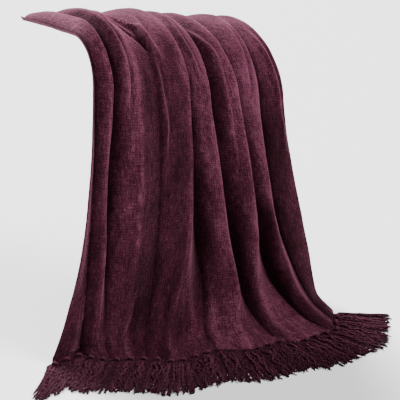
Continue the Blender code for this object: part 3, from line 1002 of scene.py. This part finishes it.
@dataclass
class Tassel:
    """One bundle of crimped yarns that leave the hem, pass through a knot and fan out."""

    foot: np.ndarray  # where it leaves the hem
    out: np.ndarray  # the way it is combed
    along: np.ndarray  # across that
    edge: np.ndarray  # along the hem
    fan: float  # its width at the tips
    bend: float  # how far it turns further on its way, radians
    floor: float
    length: float = 0.185
    spread: float = 0.08  # how far the yarns' lengths differ
    room: float = 0.046  # along the hem from one tassel to the next
    yarns: int = 46
    locks: int = 15
    closeness: float = 0.7  # how wide a lock lies, as a share of its room
    knotted: float = 0.72  # share of the yarns that pass through the knot; the rest lie beside it
    under: float = 0.006  # how far the yarns beside the knot start under the hem
    clears: float = 4.0  # how soon these come out from under it
    steps: int = 62
    yarn: Yarn = Yarn()
    lock_range: LockRange = LockRange()
    bed: Bed = Bed()
    knot: Knot = Knot()

    def yarn_route(self, share: float, lock: Lock, rng: random.Random) -> Route:
        """Work out one yarn's route.

        Args:
            share: The yarn's place in the fan, from -0.5 to 0.5.
            lock: What it shares with its lock.
            rng: The source of its own unevenness.

        Returns:
            The route.
        """
        make, knot_out = self.yarn, self.knot.out
        uneven = make.uneven[0] * lock.long + make.uneven[1] * rng.uniform(-1.0, 1.0)
        length = self.length * (1 + self.spread * uneven) * (1 - make.shorter_outside * share**2)
        crimp = rng.uniform(*make.crimp)
        phase = lock.turn + rng.uniform(-make.out_of_step, make.out_of_step)
        rest = max(make.radius, lock.rest + rng.uniform(-1, 1) * make.own_rise)
        root = rng.uniform(-0.5, 0.5) * make.root_width
        beside = abs(share) > self.knotted / 2
        wide = math.copysign(rng.uniform(*make.beside), share)
        up_size, up_start, up_rate = make.upwards
        route = []
        for k in range(self.steps + 1):
            d = length * k / self.steps
            past = max(0.0, (d - knot_out) / (length - knot_out))
            loose = min(1.0, past * make.loosens)
            wave = crimp * loose
            swing = lock.stray * loose * math.sin(lock.turn * make.wander_start + math.tau * d / lock.bend)
            spread = (1 - math.exp(-past / lock.quick)) * (make.opens[0] + make.opens[1] * past)
            start = d - make.start
            if beside:
                aside = wide * (1 - spread) + self.fan * share * spread + make.beside_swing * swing
                height = make.radius + make.beside_rise * past * rest
                start = d - self.under * (1 - min(1.0, past * self.clears))
            elif d < knot_out:
                aside = root * (1 - d / knot_out) ** make.gathers
                height = make.root_height[0] + make.root_height[1] * d / knot_out
            else:
                aside = (self.fan * share * spread + lock.drift * past**2 + swing
                         + wave * math.sin(phase + math.tau * d / lock.pitch))
                height = (rest * (1 - make.settles * past)
                          + up_size * wave * math.cos(phase * up_start + math.tau * d / lock.pitch * up_rate))
                height = make.knot_exit + (height - make.knot_exit) * min(1.0, past / make.drops_over)
            aside += self.bend * d * d / (2 * length)
            x, y = self.foot + self.out * start + (self.edge if d < knot_out else self.along) * aside
            radius = make.at_root if d < knot_out else 1.0
            if k == self.steps:
                radius = make.at_tip
            route.append((x, y, self.floor + max(make.radius * make.lowest, height), radius))
        return route

    def bed_route(self, share: float, rng: random.Random) -> Route:
        """Work out the route of a yarn in the bed.

        Args:
            share: The yarn's place in the fan, from -0.5 to 0.5.
            rng: The source of its unevenness.

        Returns:
            The route.
        """
        make = self.bed
        length = self.length * rng.uniform(*make.length)
        phase = rng.uniform(0, math.tau)
        steps = self.steps // 2
        route = []
        for k in range(steps + 1):
            d = length * k / steps
            past = d / length
            clear = min(1.0, past * self.clears)
            width = self.room * (1 - past) ** 2 + self.fan * (1 - (1 - past) ** 2)
            aside = share * width + make.wave * math.sin(phase + math.tau * d / make.pitch)
            aside += self.bend * d * d / (2 * length)
            across = self.edge * (1 - clear) + self.along * clear
            x, y = self.foot + self.out * (d - self.under * (1 - clear)) + across * aside
            thick = make.thick if past < make.tapers_at else make.tip
            route.append((x, y, self.floor + self.yarn.radius * make.height, thick))
        return route

    def routes(self, rng: random.Random) -> list[Route]:
        """Lay out every yarn.

        Args:
            rng: The source of their unevenness.

        Returns:
            The routes: the bed's, then the crimped yarns' from left to right.
        """
        count = self.bed.yarns
        found = [self.bed_route((k + 0.5) / count - 0.5, rng) for k in range(count)]
        locks = [self.lock_range.draw(self.yarn.radius, rng) for _ in range(self.locks)]
        for k in range(self.yarns):
            share = (k + 0.5) / self.yarns - 0.5
            i = k * self.locks // self.yarns
            middle = (i + 0.5) / self.locks - 0.5
            found.append(self.yarn_route(middle + (share - middle) * self.closeness, locks[i], rng))
        return found

    def knot_place(self) -> Matrix:
        """Work out where the knot goes.

        Returns:
            Its place, with its Z upwards and its X across the tassel.
        """
        centre = self.foot + self.out * self.knot.out
        return Matrix((
            (self.along[0], -self.out[0], 0, centre[0]),
            (self.along[1], -self.out[1], 0, centre[1]),
            (0, 0, 1, self.floor + self.knot.height * 0.5),
            (0, 0, 0, 1)))

    def build(self, name: str, rng: random.Random) -> bpy.types.Object:
        """Build the tassel.

        Args:
            name: The piece's name.
            rng: The source of its unevenness.

        Returns:
            The tassel as one mesh object.
        """
        curve = bpy.data.curves.new(name, "CURVE")
        curve.dimensions = "3D"
        curve.bevel_depth = self.yarn.radius
        curve.bevel_resolution = 0
        curve.use_fill_caps = True
        for route in self.routes(rng):
            spline = curve.splines.new("POLY")
            spline.points.add(len(route) - 1)
            spline.points.foreach_set("co", [v for x, y, z, _ in route for v in (x, y, z, 1.0)])
            spline.points.foreach_set("radius", [radius for *_, radius in route])
        piece = settled(link(bpy.data.objects.new("yarns", curve)), name)
        knot = self.knot.build(self.knot_place(), rng)
        knot_mesh = bpy.data.meshes.new("knot")
        knot.to_mesh(knot_mesh)
        knot.free()
        bm = bmesh.new()
        bm.from_mesh(piece.data)
        bm.from_mesh(knot_mesh)
        for vert in bm.verts:
            vert.co.z = max(vert.co.z, self.floor)
        bm.to_mesh(piece.data)
        bm.free()
        bpy.data.meshes.remove(knot_mesh)
        piece.data.shade_smooth()
        return piece


@dataclass
class Fringe:
    """The row of tassels along the near hem."""

    throw: Throw
    count: int
    first: float = 0.012  # from the hem's left end to the first knot
    last: float = 0.065  # from the last knot to the hem's right end
    lap: float = 1.35  # a fan's width, as a share of the room between two tassels
    columns: tuple[int, int, int] = (4, 5, 2)  # as many columns a fold as the hem is followed by
    steps: int = 400  # points along the hem
    edge_reach: int = 3  # points to each side between which the hem's own line is taken
    seed: int = 11
    finish: YarnFinish = YARN_FINISH

    def hem_line(self) -> tuple[np.ndarray, float]:
        """Follow the hem.

        Returns:
            Points at even steps along it, and its length.
        """
        columns = self.throw.column_list(*self.columns)
        points = self.throw.grid(columns, np.array([self.throw.touch, self.throw.hem]))[-1, :, :2]
        run = np.concatenate(([0], np.cumsum(np.linalg.norm(np.diff(points, axis=0), axis=1))))
        even = np.linspace(0, run[-1], self.steps)
        return np.stack([np.interp(even, run, points[:, k]) for k in range(2)], axis=1), run[-1]

    def tassels(self) -> list[Tassel]:
        """Set out the tassels.

        Returns:
            The tassels, from left to right, each with its fan as wide as its neighbours leave it.
        """
        line, length = self.hem_line()
        places = [lay.at for lay in LAYS]
        found = []
        for at in np.linspace(self.first, length - self.last, self.count) / length:
            turn = math.radians(smooth(places, [lay.turn for lay in LAYS], at))
            bend = math.radians(smooth(places, [lay.bend for lay in LAYS], at))
            out = np.array((math.sin(turn), -math.cos(turn)))
            i = int(round(at * (len(line) - 1)))
            edge = line[min(i + self.edge_reach, len(line) - 1)] - line[max(i - self.edge_reach, 0)]
            edge /= np.linalg.norm(edge)
            found.append(Tassel(foot=line[i], out=out, along=np.array((-out[1], out[0])), edge=edge,
                                fan=0.0, bend=bend, floor=self.throw.floor))
        tips = [t.foot + t.out * t.length for t in found]
        room = [abs(float((b - a) @ t.along)) for t, a, b in zip(found, tips, tips[1:])]
        for i, tassel in enumerate(found):
            tassel.fan = max(room[max(0, i - 1): i + 1]) * self.lap
        return found

    def build(self) -> list[bpy.types.Object]:
        """Build every tassel.

        Returns:
            The tassels' pieces, from left to right, in their finish.
        """
        rng = random.Random(self.seed)
        pieces = [tassel.build(f"{FRINGE_PIECE}_{i + 1:02d}", rng) for i, tassel in enumerate(self.tassels())]
        self.dress(pieces)
        return pieces

    def dress(self, pieces: list[bpy.types.Object]) -> None:
        """Put every tassel in the yarn's finish.

        Args:
            pieces: The tassels' pieces.
        """
        yarn = self.finish.material()
        for piece in pieces:
            piece.data.materials.clear()
            piece.data.materials.append(yarn)


@dataclass(frozen=True)
class Sun:
    """A soft light that falls from one side, even over the whole floor."""

    name: str
    turn: float  # degrees round to the right from straight ahead of the throw
    height: float  # degrees over the horizon
    strength: float
    spread: float  # degrees
    away: float = 3.0  # where it hangs, which makes no difference to its light

    def build(self) -> None:
        """Hang the light."""
        lamp = bpy.data.lights.new(self.name, "SUN")
        lamp.energy = self.strength
        lamp.angle = math.radians(self.spread)
        obj = link(bpy.data.objects.new(self.name, lamp))
        side, up = math.radians(self.turn), math.radians(self.height)
        source = Vector((math.sin(side) * math.cos(up), -math.cos(side) * math.cos(up), math.sin(up)))
        obj.location = source * self.away
        obj.rotation_euler = source.to_track_quat("Z", "Y").to_euler()


@dataclass(frozen=True)
class Studio:
    """A plain pale floor, soft lights and the camera."""

    floor: float
    size: float = 80.0
    paper: Colour = (0.92, 0.92, 0.92)
    paper_roughness: float = 0.95
    all_round: float = 0.19  # strength of the light from everywhere
    suns: tuple[Sun, ...] = (
        Sun("window", turn=46.0, height=48.0, strength=3.45, spread=24.0),
        Sun("rim", turn=176.0, height=34.0, strength=12.0, spread=30.0),
        Sun("sky", turn=-20.0, height=80.0, strength=1.0, spread=60.0),
    )
    camera_turn: float = -34.0
    camera_distance: float = 2.6
    camera_height: float = 1.42
    face: float = -0.28  # Y of the plane on which the view is centred
    look: tuple[float, float] = (0.0197, 0.4349)  # X, and height over the floor
    lens: float = 74.69
    sensor: float = 36.0

    def build_floor(self) -> None:
        """Build the floor."""
        bm = bmesh.new()
        bmesh.ops.create_grid(bm, x_segments=1, y_segments=1, size=self.size / 2,
                              matrix=Matrix.Translation((0, 0, self.floor)))
        mesh = bpy.data.meshes.new("studio_floor")
        bm.to_mesh(mesh)
        bm.free()
        paper = bpy.data.materials.new("pale_paper")
        nodes = Nodes(paper)
        nodes.shader.inputs["Base Color"].default_value = (*self.paper, 1.0)
        nodes.shader.inputs["Roughness"].default_value = self.paper_roughness
        mesh.materials.append(paper)
        ground = link(bpy.data.objects.new("studio_floor", mesh))

    def build_world(self) -> None:
        """Fill the studio with even white light."""
        world = bpy.data.worlds.new("studio")
        world.use_nodes = True
        background = world.node_tree.nodes["Background"]
        background.inputs["Color"].default_value = (1.0, 1.0, 1.0, 1.0)
        background.inputs["Strength"].default_value = self.all_round
        bpy.context.scene.world = world

    def build_camera(self) -> None:
        """Set up the camera at the throw's front left."""
        turn = math.radians(self.camera_turn)
        data = bpy.data.cameras.new("camera")
        data.lens = self.lens
        data.sensor_width = self.sensor
        camera = link(bpy.data.objects.new("camera", data))
        place = Vector((math.sin(turn) * self.camera_distance,
                        self.face - math.cos(turn) * self.camera_distance,
                        self.floor + self.camera_height))
        aim = Vector((self.look[0], self.face, self.floor + self.look[1]))
        camera.location = place
        camera.rotation_euler = (aim - place).to_track_quat("-Z", "Y").to_euler()
        bpy.context.scene.camera = camera

    def build(self) -> None:
        """Build the floor, the lights and the camera."""
        self.build_floor()
        self.build_world()
        for sun in self.suns:
            sun.build()
        self.build_camera()


def main() -> None:
    """Build the throw, its fringe and the studio, and report each piece."""
    logging.basicConfig(level=logging.INFO, format="%(name)s: %(message)s")
    low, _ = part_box(SHEET_NODE)
    throw = Throw(floor=low.z)
    cloth = throw.build()
    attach(cloth, BODY)
    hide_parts(SHEET_NODE)
    log.info("%s: %d faces", cloth.name, len(cloth.data.polygons))
    nodes = sorted(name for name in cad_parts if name.startswith(TASSEL_PREFIX))
    tassels = Fringe(throw, len(nodes)).build()
    for piece, node in zip(tassels, nodes):
        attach(piece, BODY)
        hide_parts(node)
        log.info("%s: %d faces", piece.name, len(piece.data.polygons))
    Studio(throw.floor).build()


if __name__ == "__main__":
    main()
